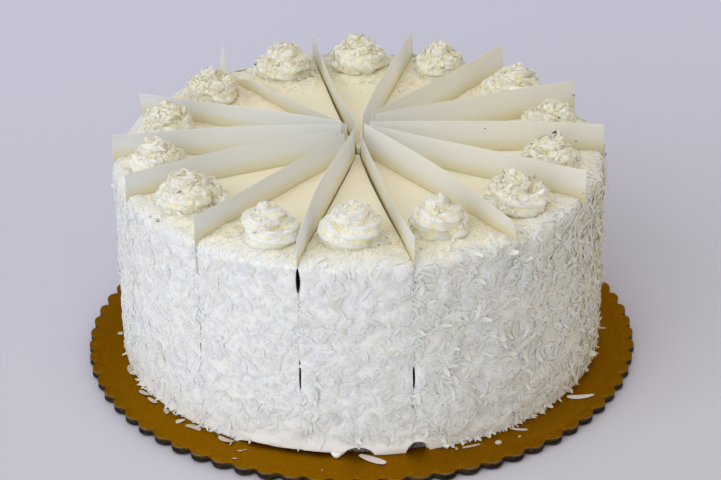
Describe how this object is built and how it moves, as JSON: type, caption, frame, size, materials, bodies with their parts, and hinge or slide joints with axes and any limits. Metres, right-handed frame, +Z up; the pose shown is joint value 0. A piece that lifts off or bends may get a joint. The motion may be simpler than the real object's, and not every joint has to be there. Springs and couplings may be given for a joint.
{
  "type": "coconut cake",
  "caption": "Tall round layer cake with shredded coconut sides and piped rosettes, cut through into wedges with parchment dividers, on a scalloped gold cake board.",
  "frame": {"origin": "middle of the cake board's underside", "axes": "+Z up, -Y towards the side that the picture shows, with the cake's own axis 3.5 mm towards +Y of the board's middle"},
  "size_m": [0.3074, 0.3074, 0.1415],
  "materials": {
    "coconut_cream": "whipped cream frosting covered with white coconut flakes",
    "whipped_cream": "satin piped cream with coconut flakes",
    "parchment": "translucent waxed parchment",
    "dark_card": "dark glossy card",
    "gold_card": "gold foil face, dark corrugated edge"
  },
  "bodies": {
    "root": {"slice_01": "coconut_cream", "slice_02": "coconut_cream", "slice_03": "coconut_cream", "slice_04": "coconut_cream", "slice_05": "coconut_cream", "slice_06": "coconut_cream", "slice_07": "coconut_cream", "slice_08": "coconut_cream", "slice_09": "coconut_cream", "slice_10": "coconut_cream", "slice_11": "coconut_cream", "slice_12": "coconut_cream", "slice_13": "coconut_cream", "slice_14": "coconut_cream", "rosette_01": "whipped_cream", "rosette_02": "whipped_cream", "rosette_03": "whipped_cream", "rosette_04": "whipped_cream", "rosette_05": "whipped_cream", "rosette_06": "whipped_cream", "rosette_07": "whipped_cream", "rosette_08": "whipped_cream", "rosette_09": "whipped_cream", "rosette_10": "whipped_cream", "rosette_11": "whipped_cream", "rosette_12": "whipped_cream", "rosette_13": "whipped_cream", "rosette_14": "whipped_cream", "paper_01": "parchment", "paper_02": "parchment", "paper_03": "parchment", "paper_04": "parchment", "paper_05": "parchment", "paper_06": "parchment", "paper_07": "parchment", "paper_08": "parchment", "paper_09": "parchment", "paper_10": "parchment", "paper_11": "parchment", "paper_12": "parchment", "paper_13": "parchment", "paper_14": "parchment", "inner_base": "dark_card", "cake_board": "gold_card"}
  },
  "joints": []
}
